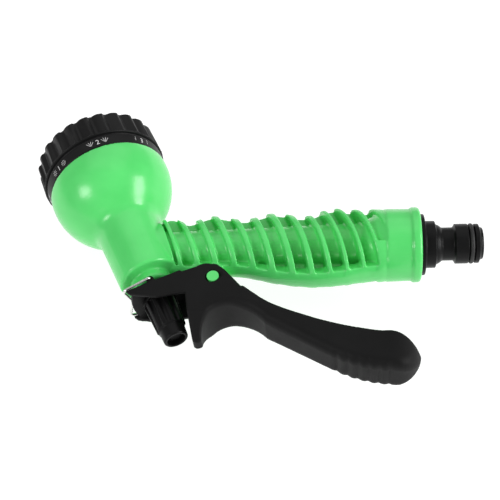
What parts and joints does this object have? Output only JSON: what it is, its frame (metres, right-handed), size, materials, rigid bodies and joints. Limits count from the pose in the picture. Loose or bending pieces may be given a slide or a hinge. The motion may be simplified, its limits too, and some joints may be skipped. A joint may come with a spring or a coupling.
{
  "type": "hose spray gun",
  "caption": "Pistol-grip garden hose spray gun with a rear squeeze lever, a flow knob behind the valve, a turning pattern dial, a ribbed handle and a quick-connect plug.",
  "frame": {"origin": "middle of the gun's box, on the plane that the gun's side lies on", "axes": "+X along the handle towards the hose plug, +Y towards the spray dial, +Z across the gun, upwards as it lies on its side"},
  "size_m": [0.2028, 0.1324, 0.0586],
  "materials": {
    "green_plastic": "satin to glossy moulded ABS",
    "black_plastic": "satin moulded plastic",
    "lever_plastic": "fine matt moulded plastic",
    "dial_plastic": "satin moulded plastic",
    "grey_plastic": "plain moulded acetal",
    "black_rubber": "smooth rubber",
    "bright_wire": "bright drawn wire",
    "stainless_steel": "plain stainless steel",
    "brass": "turned brass"
  },
  "bodies": {
    "gun": {"gun_body": "green_plastic", "lever_pivot_pin": "green_plastic", "hose_plug": "black_plastic", "plug_o_ring": "black_rubber", "inlet_washer": "black_rubber", "inlet_filter": "stainless_steel", "gland_bush": "black_plastic", "stem_o_ring": "black_rubber", "valve_seat_bush": "brass", "valve_spring": "stainless_steel", "front_bulkhead": "grey_plastic", "port_seal": "black_rubber", "detent_plunger": "grey_plastic", "detent_spring": "stainless_steel", "hub_o_ring": "black_rubber", "center_screw": "stainless_steel", "screw_washer": "stainless_steel"},
    "dial": {"selector_disc": "grey_plastic", "dial_ring": "dial_plastic", "spray_plate": "dial_plastic", "center_cap": "dial_plastic"},
    "stem": {"valve_stem": "black_plastic", "valve_washer": "black_rubber"},
    "knob": {"flow_knob": "black_plastic"},
    "lever": {"lever": "lever_plastic"},
    "bail": {"hold_open_bail": "bright_wire"}
  },
  "joints": [
    {"name": "dial_turn", "type": "hinge", "parent": "gun", "child": "dial", "pos_m": [-0.07058, 0.04414, 0.0293], "axis": [-0.4099, 0.9121, 0], "continuous": true},
    {"name": "lever_squeeze", "type": "hinge", "parent": "gun", "child": "lever", "pos_m": [-0.01419, -0.02286, 0.0293], "axis": [0, 0, 1], "range_deg": [0, 10.5], "stiffness_Nm_per_rad": 4, "springref_deg": -8.59},
    {"name": "stem_slide", "type": "slide", "parent": "gun", "child": "stem", "axis": [0.4099, -0.9121, 0], "range_m": [0, 0.005], "deforming": ["valve_spring"]},
    {"name": "flow_knob_turn", "type": "hinge", "parent": "stem", "child": "knob", "pos_m": [-0.03369, -0.03795, 0.0293], "axis": [-0.4099, 0.9121, 0], "range_deg": [-180, 180]},
    {"name": "bail_swing", "type": "hinge", "parent": "lever", "child": "bail", "pos_m": [-0.04096, -0.02373, 0.0293], "axis": [0, 0, -1], "range_deg": [0, 25]}
  ],
  "couplings": [
    {"joint": "stem_slide", "follows": "lever_squeeze", "m_per_rad": 0.02728}
  ]
}
